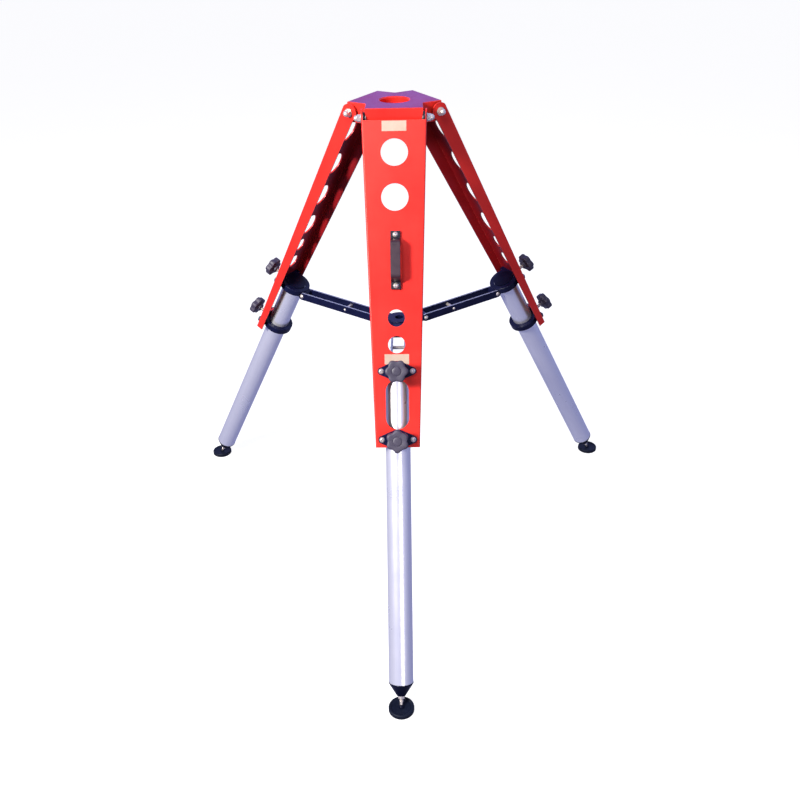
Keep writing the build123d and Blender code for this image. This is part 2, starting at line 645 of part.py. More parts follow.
def carry_handle():
    """A strap raised as a bridge, with a flat pad and a screw at each end."""
    half = HANDLE_LENGTH / 2
    knee = half - HANDLE_PAD
    shoulder = knee - HANDLE_RAMP
    ceiling = HANDLE_RISE - HANDLE_STRAP
    outer = [
        (-half, 0),
        (-half, HANDLE_STRAP),
        (-knee, HANDLE_STRAP),
        (-shoulder, HANDLE_RISE),
        (shoulder, HANDLE_RISE),
        (knee, HANDLE_STRAP),
        (half, HANDLE_STRAP),
        (half, 0),
    ]
    inner = [
        (-knee + HANDLE_FOOT, 0),
        (-shoulder + HANDLE_SHOULDER, ceiling),
        (shoulder - HANDLE_SHOULDER, ceiling),
        (knee - HANDLE_FOOT, 0),
    ]
    outline = make_face(Polyline(outer, close=True))
    outline = fillet(outline.vertices().filter_by(lambda v: v.Y > ceiling), HANDLE_OUTER_BEND)
    hole = make_face(Polyline(inner, close=True))
    hole = fillet(hole.vertices().filter_by(lambda v: v.Y > 0), HANDLE_INNER_BEND)
    # the outline's X runs down the leg and its Y stands out from the face
    side = Plane(origin=(-HANDLE_WIDTH / 2, FACE, HANDLE_CENTRE), x_dir=(0, 0, -1), z_dir=(1, 0, 0))
    handle = extrude(side * Rot(180, 0, 0) * (outline - hole), HANDLE_WIDTH, dir=(1, 0, 0))
    rims = handle.edges().filter_by(Plane.YZ).filter_by(lambda e: e.center().Y < FACE - HANDLE_EDGE)
    handle = chamfer(rims, HANDLE_EDGE)
    for end in (-1, 1):
        start = (0, FACE, HANDLE_CENTRE + end * HANDLE_SCREW_SPACING / 2)
        handle -= rod(CLAMP_SCREW_RADIUS, HANDLE_RISE, start, (0, -1, 0))
    return handle


def handle_screws():
    ends = [HANDLE_CENTRE + end * HANDLE_SCREW_SPACING / 2 for end in (-1, 1)]
    return [face_screw(0, z, HANDLE_STRAP, HANDLE_STRAP + SHEET) for z in ends]


def labels():
    """Two blank plates on the front leg's face. The lower one is trimmed round its clamp plate."""
    blank = Rectangle(LABEL_WIDTH, LABEL_HEIGHT)
    upper, lower = [extrude(plate_plane(z) * blank, LABEL_THICKNESS) for z in LABEL_CENTRES]
    trim = plate_plane(UPPER_CLAMP) * offset(plate_outline(), LABEL_TRIM)
    return [upper, lower - extrude(trim, 2 * LABEL_THICKNESS)]


def build_leg(leg):
    """Writes every node of one leg."""
    save(f"{leg}_channel", place(leg, [channel(leg == "front")]))
    save(f"{leg}_upper_ring", place(leg, [clamp_ring(UPPER_CLAMP, True)]))
    save(f"{leg}_lower_ring", place(leg, [clamp_ring(LOWER_CLAMP, False)]))
    save(f"{leg}_clamp_plates", place(leg, [clamp_plate(z) for z in (UPPER_CLAMP, LOWER_CLAMP)]))
    save(f"{leg}_clamp_screws", place(leg, clamp_screws()))
    for level, z in (("upper", UPPER_CLAMP), ("lower", LOWER_CLAMP)):
        save(f"{leg}_{level}_stud", place(leg, [clamp_stud(z)]))
        save(f"{leg}_{level}_knob", place(leg, [knob(z, KNOB_TURN[level])]))
    save(f"{leg}_tube", place(leg, [tube()]))
    save(f"{leg}_tube_cap", place(leg, [tube_cap()]))
    save(f"{leg}_end_plug", place(leg, [end_plug()]))
    save(f"{leg}_lock_nut", place(leg, [lock_nut()]))
    save(f"{leg}_foot_stud", place(leg, [foot_stud()]))
    turn = Rot(0, 0, LEGS[leg])
    save(f"{leg}_foot_pad", turn * foot_pad())
    save(f"{leg}_arm_bars", [turn * bar for bar in arm_bars()])
    save(f"{leg}_arm_bolts", [turn * bolt for bolt in arm_bolts()])


os.makedirs(EXPORT_FOLDER, exist_ok=True)
save("head_block", head_block())
save("hinge_bolts", hinge_bolts())
save("hinge_washers", hinge_washers())
save("spreader_hub", spreader_hub())
save("hub_bushes", hub_bushes())
save("carry_handle", place("front", [carry_handle()]))
save("handle_screws", place("front", handle_screws()))
save("label_plates", place("front", labels()))
for leg_name in LEGS:
    build_leg(leg_name)
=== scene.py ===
import json
from math import cos, pi, radians, sin, tau

import bmesh
import bpy
from mathutils import Matrix, Vector


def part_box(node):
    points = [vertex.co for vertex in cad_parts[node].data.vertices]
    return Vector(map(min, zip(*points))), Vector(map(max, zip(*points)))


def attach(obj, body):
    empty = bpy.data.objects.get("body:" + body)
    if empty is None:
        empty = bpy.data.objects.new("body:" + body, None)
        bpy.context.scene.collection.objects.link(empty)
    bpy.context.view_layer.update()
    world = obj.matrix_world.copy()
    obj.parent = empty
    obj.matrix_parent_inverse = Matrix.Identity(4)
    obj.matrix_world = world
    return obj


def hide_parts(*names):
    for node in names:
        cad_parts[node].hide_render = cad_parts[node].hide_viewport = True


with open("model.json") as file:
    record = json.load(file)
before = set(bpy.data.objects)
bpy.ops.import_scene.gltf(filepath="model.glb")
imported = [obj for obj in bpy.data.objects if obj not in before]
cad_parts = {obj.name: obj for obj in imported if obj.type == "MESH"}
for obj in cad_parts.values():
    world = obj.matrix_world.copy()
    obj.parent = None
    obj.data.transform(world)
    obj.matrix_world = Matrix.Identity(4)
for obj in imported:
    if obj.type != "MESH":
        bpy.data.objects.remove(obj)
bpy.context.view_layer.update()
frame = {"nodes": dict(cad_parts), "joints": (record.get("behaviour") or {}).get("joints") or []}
joints = {joint["name"]: joint for joint in frame["joints"]}

LEGS = ("front", "right", "left")
LEVELS = ("upper", "lower")
MM = 0.001

# Star knobs, in millimetres
KNOB_LOBES = 6
KNOB_REACH = 23.0
KNOB_VALLEY = 18.9
KNOB_THICKNESS = 15.0
KNOB_BOSS = 6.0
KNOB_BOSS_RADIUS = 9.5
KNOB_BORE_DEPTH = 9.0
KNOB_CAP_RADIUS = 9.3
KNOB_TURN = {"upper": 0.0, "lower": radians(30)}

# Studs, in millimetres
STUD_RADIUS = 4.0
STUD_LENGTH = 46.0
STUD_PLAIN_TIP = 14.0
STUD_PLAIN_END = 3.0
STUD_POINT = 0.9
BORE_GAP = 0.06
THREAD_GAP = 0.02
THREAD_PITCH = 1.25
THREAD_DEPTH = 0.72
THREAD_STEPS = 8  # rings for each turn

# Feet, in millimetres
FOOT_STUD_LENGTH = 62.0
BALL_RADIUS = 5.5
BALL_TOP = 4.9
BALL_STEPS = 16
CUP_STEPS = 9
NECK_RADIUS = 3.2
NECK_LENGTH = 11.0
NUT_FLATS = 13.0
NUT_CORNER_START = 0.97  # as a share of the flats' reach
NUT_CORNER_SLOPE = 0.55
NUT_FLANGE = 1.4
NUT_FLANGE_RADIUS = 8.9
NUT_BORE_EDGE = 0.6
PAD_RIBS = 60
PAD_RIB_DEPTH = 0.7

# Points around a turned piece
KNOB_SIDES = 96
ROD_SIDES = 28
NUT_SIDES = 96
BALL_SIDES = 48
PAD_SIDES = 240

# Smooth shading stops at edges sharper than this, in degrees
SMOOTH_ANGLE = 35
THREAD_ANGLE = 50
NUT_ANGLE = 40

# Painted light in the red coat: a painted violet reflection and shade on the head's flat top, and painted
# shade on the channels' inner faces
HEAD_TOP_PAINTED_REFLECTION = (0.19, 0.014, 0.13)
INSIDE_PAINTED_SHADE = (0.20, 0.004, 0.010)

# The strap's share of the handle's half length. The end pads take the rest.
STRAP_SHARE = 0.62


# ---------------------------------------------------------------- frames and mesh helpers


def axes_matrix(origin, x, z):
    """A frame with the given origin, Z along z and X near x."""
    z = Vector(z).normalized()
    y = z.cross(Vector(x)).normalized()
    m = Matrix((y.cross(z), y, z)).transposed().to_4x4()
    m.translation = Vector(origin)
    return m


def leg_frame(leg):
    """A leg's own frame: X along the hinge, Y inward, Z up the leg, origin on the hinge."""
    fold = joints[f"{leg}_leg_fold"]
    return axes_matrix(fold["pos_m"], fold["axis"], joints[f"{leg}_tube_slide"]["axis"])


def knob_frame(leg, level):
    """A clamp screw's frame: origin on the channel's face, Z outward, Y up the leg."""
    turn = joints[f"{leg}_{level}_knob_turn"]
    return axes_matrix(turn["pos_m"], joints[f"{leg}_leg_fold"]["axis"], turn["axis"])


def foot_frame(leg):
    """A foot's frame: origin at the ball's centre, Z up the leg."""
    tilt = joints[f"{leg}_foot_tilt"]
    return axes_matrix(tilt["pos_m"], tilt["axis"], joints[f"{leg}_tube_slide"]["axis"])


def span_along(node, axes):
    """The lowest and highest point of a CAD node along a frame's Z, in millimetres."""
    local = axes.inverted()
    heights = [(local @ vertex.co).z / MM for vertex in frame["nodes"][node].data.vertices]
    return min(heights), max(heights)


def smooth(obj, angle=SMOOTH_ANGLE):
    """Smooth shading with sharp edges above an angle."""
    bm = bmesh.new()
    bm.from_mesh(obj.data)
    bmesh.ops.recalc_face_normals(bm, faces=bm.faces)
    for face in bm.faces:
        face.smooth = True
    for edge in bm.edges:
        edge.smooth = len(edge.link_faces) == 2 and edge.calc_face_angle(0) < radians(angle)
    bm.to_mesh(obj.data)
    bm.free()


def make_object(name, verts, faces, matrix, material, body, angle=SMOOTH_ANGLE):
    """A mesh given in millimetres in a local frame, placed in the row frame and riding on a body."""
    data = bpy.data.meshes.new(name)
    data.from_pydata([matrix @ (Vector(v) * MM) for v in verts], [], faces)
    obj = bpy.data.objects.new(name, data)
    bpy.context.collection.objects.link(obj)
    smooth(obj, angle)
    data.materials.append(material)
    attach(obj, body)
    return obj


def lathe(rings, count):
    """Rings of points joined into a skin, closed at each end by a fan.

    rings is a list of functions, each giving (radius, height) for an angle.
    """
    verts, faces = [], []
    for ring in rings:
        for i in range(count):
            angle = tau * i / count
            radius, height = ring(angle)
            verts.append((radius * cos(angle), radius * sin(angle), height))
    for row in range(len(rings) - 1):
        for i in range(count):
            a, b = row * count + i, row * count + (i + 1) % count
            faces.append((a, b, b + count, a + count))
    last = (len(rings) - 1) * count
    faces.append(tuple(range(count))[::-1])
    faces.append(tuple(range(last, last + count)))
    return verts, faces


def plain(radius, height):
    """A round ring for lathe."""
    return lambda angle: (radius, height)


# ---------------------------------------------------------------- materials


class Nodes:
    """Short calls that add nodes to one material."""

    def __init__(self, name):
        self.material = bpy.data.materials.new(name)
        self.material.use_nodes = True
        self.tree = self.material.node_tree
        self.shader = self.tree.nodes["Principled BSDF"]

    def add(self, kind, values=None, **settings):
        """A new node, with its settings, and with its inputs set or linked."""
        node = self.tree.nodes.new(kind)
        for key, value in settings.items():
            setattr(node, key, value)
        for key, value in (values or {}).items():
            self.put(node.inputs[key], value)
        return node

    def put(self, socket, value):
        """Links a socket to an output, or sets it to a constant."""
        if isinstance(value, bpy.types.NodeSocket):
            self.tree.links.new(value, socket)
        else:
            socket.default_value = value

    def position(self, matrix=None, stretch=(1, 1, 1)):
        """The surface point at rest, in metres, in the row frame or a given frame, with a stretch."""
        point = self.add("ShaderNodeTexCoord").outputs["Object"]
        if matrix is not None:
            inverse = matrix.inverted()
            point = self.add(
                "ShaderNodeMapping",
                {"Vector": point, "Location": inverse.translation, "Rotation": inverse.to_euler()},
            ).outputs["Vector"]
        return self.add("ShaderNodeMapping", {"Vector": point, "Scale": stretch}).outputs["Vector"]

    def noise(self, point, scale, detail=3.0, roughness=0.5):
        values = {"Vector": point, "Scale": scale, "Detail": detail, "Roughness": roughness}
        return self.add("ShaderNodeTexNoise", values).outputs["Fac"]

    def cells(self, point, scale):
        return self.add("ShaderNodeTexVoronoi", {"Vector": point, "Scale": scale}).outputs["Distance"]

    def ramp(self, value, low, high, to_low=0.0, to_high=1.0):
        """A value mapped from low..high to another range, and held at its ends."""
        values = {"Value": value, "From Min": low, "From Max": high, "To Min": to_low, "To Max": to_high}
        return self.add("ShaderNodeMapRange", values).outputs["Result"]

    def math(self, operation, a, b):
        node = self.add("ShaderNodeMath", operation=operation)
        self.put(node.inputs[0], a)
        self.put(node.inputs[1], b)
        return node.outputs[0]

    def mix(self, share, a, b):
        """A colour between a and b."""
        node = self.add("ShaderNodeMix", data_type="RGBA")
        self.put(node.inputs["Factor"], share)
        self.put(node.inputs[6], (*a, 1) if isinstance(a, tuple) else a)
        self.put(node.inputs[7], (*b, 1) if isinstance(b, tuple) else b)
        return node.outputs[2]

    def dot(self, vector, direction):
        values = {0: vector, 1: tuple(direction[:3])}
        return self.add("ShaderNodeVectorMath", values, operation="DOT_PRODUCT").outputs["Value"]

    def part_of(self, point, axis):
        return self.add("ShaderNodeSeparateXYZ", {"Vector": point}).outputs[axis]

    def edges(self, radius, sharp=0.93):
        """1 on sharp edges and 0 on flats."""
        bevel = self.add("ShaderNodeBevel", {"Radius": radius}, samples=4).outputs["Normal"]
        flat = self.add("ShaderNodeNewGeometry").outputs["True Normal"]
        dot = self.add("ShaderNodeVectorMath", operation="DOT_PRODUCT")
        self.put(dot.inputs[0], bevel)
        self.put(dot.inputs[1], flat)
        return self.ramp(dot.outputs["Value"], 0.995, sharp)

    def bump(self, height, distance, strength=1.0, under=None):
        values = {"Height": height, "Distance": distance, "Strength": strength}
        if under is not None:
            values["Normal"] = under
        return self.add("ShaderNodeBump", values).outputs["Normal"]

    def finish(self, colour, roughness, normal, **constants):
        """Joins the three maps to the shader, sets its constants and gives the material."""
        self.put(self.shader.inputs["Base Color"], colour)
        self.put(self.shader.inputs["Roughness"], roughness)
        self.put(self.shader.inputs["Normal"], normal)
        for key, value in constants.items():
            self.put(self.shader.inputs[key.replace("_", " ")], value)
        return self.material


def red_coat(name, matrix, painted_light_colour, painted_light_mask):
    """Satin red coat with orange peel, rubbed paler along the edges.

    The mask function, called with (n, point), says where the coat takes the painted light colour instead,
    from 0 to 1: painted shade or a painted reflection.
    """
    n = Nodes(name)
    point = n.position(matrix)
    cloud = n.noise(point, 7.0, 4.0, 0.6)
    colour = n.mix(n.ramp(cloud, 0.35, 0.7), (0.80, 0.028, 0.020), (0.90, 0.040, 0.028))
    speck = n.noise(point, 420.0, 2.0)
    colour = n.mix(n.ramp(speck, 0.62, 0.72, 0.0, 0.25), colour, (0.56, 0.020, 0.016))
    # Painted light: the mask's share of the coat takes the painted shade or painted reflection colour.
    painted_light_share = n.math("MULTIPLY", painted_light_mask(n, point), n.ramp(cloud, 0.3, 0.7, 0.80, 0.95))
    colour = n.mix(painted_light_share, colour, painted_light_colour)
    chips = n.noise(point, 160.0, 5.0, 0.7)
    rubbed = n.math("MULTIPLY", n.edges(0.0009), n.ramp(chips, 0.42, 0.60, 0.0, 0.75))
    colour = n.mix(rubbed, colour, (0.95, 0.20, 0.17))
    streaks = n.noise(n.position(matrix, (60, 60, 2.5)), 4.0, 4.0, 0.6)
    smudge = n.noise(point, 22.0, 5.0, 0.65)
    rough = n.math("ADD", n.ramp(smudge, 0.3, 0.75, 0.30, 0.42), n.ramp(streaks, 0.3, 0.7, -0.03, 0.03))
    peel = n.bump(n.noise(point, 900.0, 2.0, 0.4), 0.00006, 0.6)
    return n.finish(colour, rough, peel, Metallic=0.25, Specular_IOR_Level=0.25)


def shaded_inside_mask(axes):
    """A mask for the inner faces of a channel, where painted shade darkens the coat."""

    def mask(n, point):
        facing = n.add("ShaderNodeTexCoord").outputs["Normal"]
        inward = n.dot(facing, axes.col[1])
        side = n.math("SIGN", n.part_of(point, "X"), 0.0)
        across = n.math("MULTIPLY", n.dot(facing, -axes.col[0]), side)
        return n.ramp(n.math("MAXIMUM", inward, across), 0.55, 0.75)

    return mask


def top_reflection_mask(n, point):
    """A mask for the head's flat top, which gets a painted violet reflection and shade."""
    facing = n.add("ShaderNodeTexCoord").outputs["Normal"]
    return n.ramp(n.part_of(facing, "Z"), 0.90, 0.97)


def black_finish(name, matrix=None, painted_top_highlight=0.0):
    """Satin blue-black anodised metal, faintly grained, rubbed grey on the edges.

    The last argument sets how strongly the faces that look up get a painted bluish highlight, along a
    bar's cut top edge.
    """
    n = Nodes(name)
    point = n.position(matrix)
    cloud = n.noise(point, 30.0, 4.0, 0.6)
    colour = n.mix(n.ramp(cloud, 0.35, 0.7), (0.003, 0.004, 0.024), (0.006, 0.008, 0.040))
    chips = n.noise(point, 240.0, 4.0, 0.7)
    rubbed = n.math("MULTIPLY", n.edges(0.0007), n.ramp(chips, 0.45, 0.65, 0.0, 0.6))
    colour = n.mix(rubbed, colour, (0.12, 0.12, 0.22))
    # Painted highlight: a bluish glint on the faces that look up.
    facing = n.add("ShaderNodeTexCoord").outputs["Normal"]
    upward = n.ramp(n.part_of(facing, "Z"), 0.75, 0.85)
    painted_highlight = n.math("MULTIPLY", upward, n.ramp(chips, 0.3, 0.6, 0.5 * painted_top_highlight, painted_top_highlight))
    colour = n.mix(painted_highlight, colour, (0.30, 0.33, 0.52))
    lines = n.noise(n.position(matrix, (1, 1, 0.05)), 900.0, 2.0)
    rough = n.ramp(cloud, 0.3, 0.75, 0.26, 0.38)
    grain = n.bump(lines, 0.00005, 0.5)
    return n.finish(colour, rough, grain, Specular_IOR_Level=0.15)


def tube_metal(name, matrix):
    """Natural anodised tube with drawing lines along it and faint handling bands."""
    n = Nodes(name)
    along = n.position(matrix, (1, 1, 0.012))
    lines = n.noise(along, 1100.0, 3.0, 0.6)
    fine = n.noise(along, 3600.0, 2.0)
    cloud = n.noise(n.position(matrix), 18.0, 4.0, 0.6)
    colour = n.mix(n.ramp(lines, 0.3, 0.7), (0.86, 0.86, 0.88), (0.94, 0.94, 0.96))
    colour = n.mix(n.ramp(cloud, 0.45, 0.8, 0.0, 0.25), colour, (0.72, 0.71, 0.76))
    bands = n.noise(n.position(matrix, (0.02, 0.02, 1)), 260.0, 3.0, 0.6)
    worn = n.ramp(bands, 0.60, 0.75, 0.0, 0.05)
    rough = n.math("ADD", n.ramp(cloud, 0.3, 0.75, 0.26, 0.36), worn)
    normal = n.bump(lines, 0.00004, 0.5)
    normal = n.bump(fine, 0.00002, 0.4, normal)
    return n.finish(colour, rough, normal, Metallic=0.72, Specular_IOR_Level=0.7)


def turned_steel(name):
    """Bright steel with fine turning marks, dulled in patches."""
    n = Nodes(name)
    point = n.position()
    cloud = n.noise(point, 150.0, 4.0, 0.6)
    colour = n.mix(n.ramp(cloud, 0.35, 0.7), (0.62, 0.56, 0.50), (0.74, 0.68, 0.60))
    marks = n.noise(point, 2600.0, 3.0, 0.7)
    rough = n.ramp(cloud, 0.3, 0.75, 0.30, 0.46)
    return n.finish(colour, rough, n.bump(marks, 0.00002, 0.5), Metallic=0.7)


def moulded(name, dark, light, grain_scale, grain, rough, shine):
    """Moulded plastic or rubber with a sparked grain and dusty patches."""
    n = Nodes(name)
    point = n.position()
    cloud = n.noise(point, 45.0, 5.0, 0.65)
    colour = n.mix(n.ramp(cloud, 0.35, 0.75), dark, light)
    worn = n.math("MULTIPLY", n.edges(0.0008), n.ramp(n.noise(point, 300.0, 4.0), 0.4, 0.65, 0.0, 0.5))
    colour = n.mix(worn, colour, tuple(3.0 * c + 0.02 for c in light))
    texture = n.bump(n.cells(point, grain_scale), grain, 0.7)
    texture = n.bump(n.noise(point, grain_scale * 1.7, 3.0), grain * 0.5, 0.5, texture)
    rough_map = n.ramp(cloud, 0.3, 0.75, rough, rough + 0.14)
    return n.finish(colour, rough_map, texture, Specular_IOR_Level=shine)


def strap_finish(name, matrix):
    """Grained brown-black strap with smoother black end pads."""
    n = Nodes(name)
    point = n.position(matrix)
    low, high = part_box("carry_handle")
    pad_start = STRAP_SHARE * (high - low).length / 2
    middle = matrix.inverted() @ ((low + high) / 2)
    away = n.math("ABSOLUTE", n.math("SUBTRACT", n.part_of(point, "Z"), middle.z), 0.0)
    pad = n.ramp(away, 0.98 * pad_start, 1.02 * pad_start)
    cloud = n.noise(point, 60.0, 5.0, 0.65)
    strap = n.mix(n.ramp(cloud, 0.3, 0.75), (0.028, 0.014, 0.022), (0.050, 0.026, 0.038))
    colour = n.mix(pad, strap, (0.006, 0.006, 0.012))
    worn = n.math("MULTIPLY", n.edges(0.001), n.ramp(n.noise(point, 260.0, 4.0), 0.4, 0.65, 0.0, 0.5))
    colour = n.mix(worn, colour, (0.16, 0.12, 0.14))
    grain = n.bump(n.cells(point, 700.0), 0.00012, 0.6)
    grain = n.bump(n.noise(point, 1500.0, 3.0), 0.00006, 0.5, grain)
    return n.finish(colour, n.ramp(cloud, 0.3, 0.75, 0.38, 0.55), grain, Specular_IOR_Level=0.35)


def label_film(name):
    """Blank cream film over paper, with faint fibres and a yellowed patchiness."""
    n = Nodes(name)
    point = n.position()
    cloud = n.noise(point, 70.0, 5.0, 0.6)
    colour = n.mix(n.ramp(cloud, 0.3, 0.75), (0.50, 0.37, 0.29), (0.57, 0.44, 0.36))
    fibre = n.noise(n.position(None, (1, 1, 6)), 700.0, 4.0, 0.7)
    colour = n.mix(n.ramp(fibre, 0.55, 0.75, 0.0, 0.3), colour, (0.42, 0.30, 0.24))
    normal = n.bump(fibre, 0.00003, 0.5)
    return n.finish(colour, n.ramp(cloud, 0.3, 0.75, 0.34, 0.5), normal, Specular_IOR_Level=0.3)


def rubber_foot(name):
    """Blue-black rubber, dusty low down."""
    n = Nodes(name)
    point = n.position()
    cloud = n.noise(point, 60.0, 5.0, 0.65)
    colour = n.mix(n.ramp(cloud, 0.3, 0.75), (0.002, 0.004, 0.012), (0.005, 0.009, 0.022))
    low = n.ramp(n.part_of(point, "Z"), 0.0, 0.006, 0.35, 0.0)
    dust = n.math("MULTIPLY", low, n.ramp(n.noise(point, 180.0, 5.0, 0.7), 0.35, 0.65))
    colour = n.mix(dust, colour, (0.16, 0.15, 0.15))
    grain = n.bump(n.noise(point, 1600.0, 4.0, 0.6), 0.00008, 0.7)
    return n.finish(colour, n.ramp(cloud, 0.3, 0.75, 0.42, 0.62), grain, Specular_IOR_Level=0.2)


def brass_bush(name):
    """Turned brass, dulled in patches."""
    n = Nodes(name)
    point = n.position()
    cloud = n.noise(point, 120.0, 4.0, 0.6)
    colour = n.mix(n.ramp(cloud, 0.3, 0.75), (0.55, 0.38, 0.14), (0.78, 0.58, 0.26))
    marks = n.bump(n.noise(point, 2400.0, 3.0), 0.00003, 0.5)
    return n.finish(colour, n.ramp(cloud, 0.3, 0.75, 0.25, 0.42), marks, Metallic=1.0)


leg_axes = {leg: leg_frame(leg) for leg in LEGS}
steel = turned_steel("turned_steel")
knob_plastic = moulded(
    "knob_plastic",
    dark=(0.038, 0.032, 0.054),
    light=(0.058, 0.050, 0.082),
    grain_scale=1100.0,
    grain=0.00010,
    rough=0.42,
    shine=0.5,
)
plug_plastic = moulded(
    "plug_plastic",
    dark=(0.001, 0.002, 0.012),
    light=(0.003, 0.004, 0.020),
    grain_scale=1500.0,
    grain=0.00006,
    rough=0.34,
    shine=0.12,
)
nylon = moulded(
    "nylon",
    dark=(0.012, 0.011, 0.016),
    light=(0.022, 0.020, 0.028),
    grain_scale=1400.0,
    grain=0.00004,
    rough=0.42,
    shine=0.4,
)
rubber = rubber_foot("foot_rubber")


def coat(node, material):
    """Gives a CAD node a finish."""
    for slot in frame["nodes"][node].material_slots:
        slot.material = material


def finish_cad_nodes():
    """Gives every CAD node that stays visible, and every one that is replaced, its finish."""
    # The head's flat top gets a painted violet reflection and shade.
    coat("head_block", red_coat("red_head", Matrix(), HEAD_TOP_PAINTED_REFLECTION, top_reflection_mask))
    coat("hinge_bolts", steel)
    coat("hinge_washers", nylon)
    coat("spreader_hub", black_finish("black_hub"))
    coat("hub_bushes", brass_bush("bush_brass"))
    coat("carry_handle", strap_finish("strap", leg_axes["front"]))
    coat("handle_screws", steel)
    coat("label_plates", label_film("label_film"))
    for leg in LEGS:
        axes = leg_axes[leg]
        black = black_finish(f"{leg}_black", axes)
        arm = black_finish(f"{leg}_black_bar", Matrix.Rotation(pi / 2, 4, "X") @ axes, 1.0)
        # The channels' inner faces get painted shade.
        coat(f"{leg}_channel", red_coat(f"{leg}_red", axes, INSIDE_PAINTED_SHADE, shaded_inside_mask(axes)))
        coat(f"{leg}_tube", tube_metal(f"{leg}_tube_metal", axes))
        coat(f"{leg}_arm_bars", arm)
        for node in ("upper_ring", "lower_ring", "clamp_plates"):
            coat(f"{leg}_{node}", black)
        for node in ("clamp_screws", "arm_bolts", "foot_stud", "lock_nut", "upper_stud", "lower_stud"):
            coat(f"{leg}_{node}", steel)
        for node in ("tube_cap", "end_plug"):
            coat(f"{leg}_{node}", plug_plastic)
        for node in ("upper_knob", "lower_knob"):
            coat(f"{leg}_{node}", knob_plastic)
        coat(f"{leg}_foot_pad", rubber)


# ---------------------------------------------------------------- replaced pieces


def knob_rings(inner):
    """The rings of a star knob, from its blind bore round its outside to its capped top."""
    bore = STUD_RADIUS + BORE_GAP
    depth = inner + KNOB_BORE_DEPTH
    foot = inner - KNOB_BOSS
    top = inner + KNOB_THICKNESS

    def lobed(share, height, crown=0.0):
        def ring(angle):
            wave = (1 + cos(KNOB_LOBES * angle)) / 2
            reach = KNOB_VALLEY + (KNOB_REACH - KNOB_VALLEY) * wave**0.8
            return share * reach, inner + height + crown * wave

        return ring

    rings = [plain(0.4, depth), plain(bore, depth), plain(bore, foot)]
    rings += [plain(KNOB_BOSS_RADIUS - 0.6, foot), plain(KNOB_BOSS_RADIUS, foot + 0.6)]
    rings += [plain(KNOB_BOSS_RADIUS, inner - 1.2), plain(KNOB_BOSS_RADIUS + 0.7, inner - 0.3)]
    rings += [plain(KNOB_BOSS_RADIUS + 1.9, inner)]
    rings += [lobed(0.80, 0.05), lobed(0.93, 0.35), lobed(0.98, 1.0), lobed(1.0, 2.1)]
    rings += [lobed(1.0, 0.5 * KNOB_THICKNESS), lobed(1.0, KNOB_THICKNESS - 3.2)]
    rings += [lobed(0.985, KNOB_THICKNESS - 2.0), lobed(0.945, KNOB_THICKNESS - 1.0)]
    rings += [lobed(0.88, KNOB_THICKNESS - 0.5, 0.2), lobed(0.78, KNOB_THICKNESS - 0.5, 0.5)]
    rings += [lobed(0.66, KNOB_THICKNESS - 0.6, 0.4), plain(KNOB_CAP_RADIUS + 1.1, top - 0.7)]
    rings += [plain(KNOB_CAP_RADIUS + 0.3, top - 0.9), plain(KNOB_CAP_RADIUS, top - 1.7)]
    rings += [plain(KNOB_CAP_RADIUS - 0.4, top - 1.7), plain(KNOB_CAP_RADIUS - 0.6, top - 0.6)]
    rings += [plain(KNOB_CAP_RADIUS - 1.3, top - 0.2), plain(5.0, top + 0.2), plain(2.0, top + 0.35)]
    return rings


def thread_rings(start, end, first, last):
    """The rings of a threaded rod from start to end, threaded between first and last."""
    outer = STUD_RADIUS - THREAD_GAP
    step = THREAD_PITCH / THREAD_STEPS

    def threaded(height):
        def ring(angle):
            phase = (height / THREAD_PITCH - angle / tau) % 1.0
            flank = min(1.0, max(0.0, 2.4 * abs(phase - 0.5) - 0.1))
            fade = min(1.0, (height - first) / THREAD_PITCH, (last - height) / THREAD_PITCH)
            return outer - THREAD_DEPTH * flank * max(0.0, fade), height

        return ring

    rows = [plain(outer - STUD_POINT, start), plain(outer, start + STUD_POINT), plain(outer, first)]
    for i in range(1, int((last - first) / step)):
        rows.append(threaded(first + i * step))
    rows += [plain(outer, last), plain(outer, end - STUD_POINT), plain(outer - STUD_POINT, end)]
    return rows


def build_knobs(leg):
    """A leg's two star knobs and their threaded studs."""
    for level in LEVELS:
        axes = knob_frame(leg, level)
        local = axes.inverted()
        low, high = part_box(f"{leg}_{level}_knob")
        centre = (local @ ((low + high) / 2)).z / MM
        inner = centre + KNOB_BOSS / 2 - KNOB_THICKNESS / 2
        verts, faces = lathe(knob_rings(inner), KNOB_SIDES)
        turn = axes @ Matrix.Rotation(KNOB_TURN[level], 4, "Z")
        body = f"{leg}_{level}_star"
        name = f"{leg}_{level}_star_knob"
        star = make_object(name, verts, faces, turn, knob_plastic, body)
        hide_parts(f"{leg}_{level}_knob")
        low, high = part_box(f"{leg}_{level}_stud")
        middle = (local @ ((low + high) / 2)).z / MM
        tip, end = middle - STUD_LENGTH / 2, middle + STUD_LENGTH / 2
        first, last = tip + STUD_PLAIN_TIP, end - STUD_PLAIN_END
        verts, faces = lathe(thread_rings(tip, end, first, last), ROD_SIDES)
        body = f"{leg}_{level}_screw"
        name = f"{leg}_{level}_threaded_stud"
        stud = make_object(name, verts, faces, axes, steel, body, THREAD_ANGLE)
        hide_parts(f"{leg}_{level}_stud")


